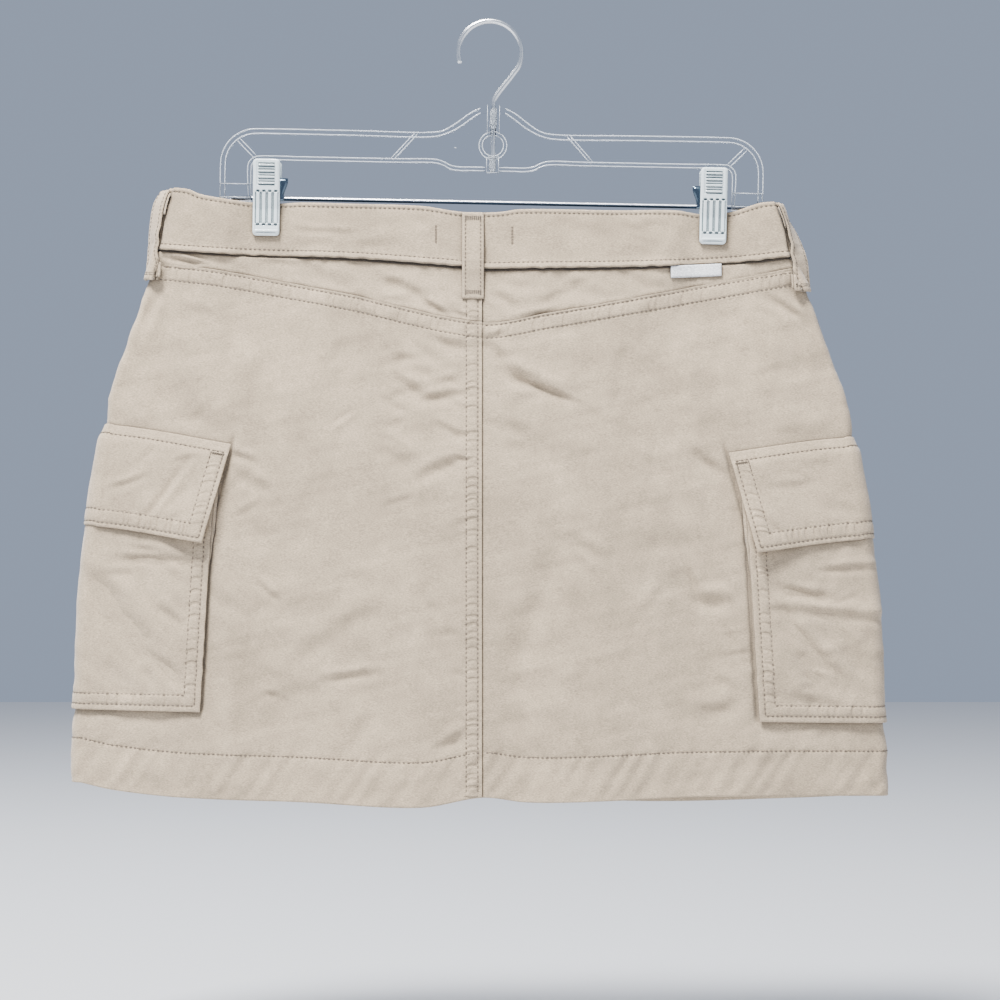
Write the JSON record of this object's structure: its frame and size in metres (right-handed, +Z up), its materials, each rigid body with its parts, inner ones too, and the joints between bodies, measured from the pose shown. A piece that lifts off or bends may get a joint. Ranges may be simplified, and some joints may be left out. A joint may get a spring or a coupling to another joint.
{
  "type": "cargo utility skirt on a clip hanger",
  "caption": "Short cotton-twill skirt with a V yoke, belt loops and flapped cargo pockets round the sides, hanging by its waistband from a clear two-clip hanger with a metal hook.",
  "frame": {"origin": "inner top of the hook, where a rail holds the hanger", "axes": "+Z up, +Y towards the front of the skirt, +X towards the wearer's right; the back of the skirt faces -Y"},
  "size_m": [0.5319, 0.0566, 0.5107],
  "materials": {
    "twill": "matt stone-coloured cotton twill",
    "tab": "plain white woven tab",
    "button": "satin",
    "clear_plastic": "clear moulded plastic, glossy",
    "jaw_plastic": "pale, glossy",
    "rod_steel": "bright plated wire",
    "spring_steel": "bright bent strip"
  },
  "bodies": {
    "root": {"back_left": "twill", "back_right": "twill", "back_yoke_left": "twill", "back_yoke_right": "twill", "front_left": "twill", "front_right": "twill", "waistband": "twill", "loop_back": "twill", "loop_front_left": "twill", "loop_front_right": "twill", "loop_side_left": "twill", "loop_side_right": "twill", "pocket_left": "twill", "gusset_left": "twill", "flap_left": "twill", "pocket_right": "twill", "gusset_right": "twill", "flap_right": "twill", "side_tab": "tab", "waist_button": "button", "hanger_frame": "clear_plastic", "hanger_rod": "rod_steel", "hook": "rod_steel", "clip_left_back_jaw": "jaw_plastic", "clip_left_front_jaw": "jaw_plastic", "clip_left_spring": "spring_steel", "clip_right_back_jaw": "jaw_plastic", "clip_right_front_jaw": "jaw_plastic", "clip_right_spring": "spring_steel"}
  },
  "joints": []
}
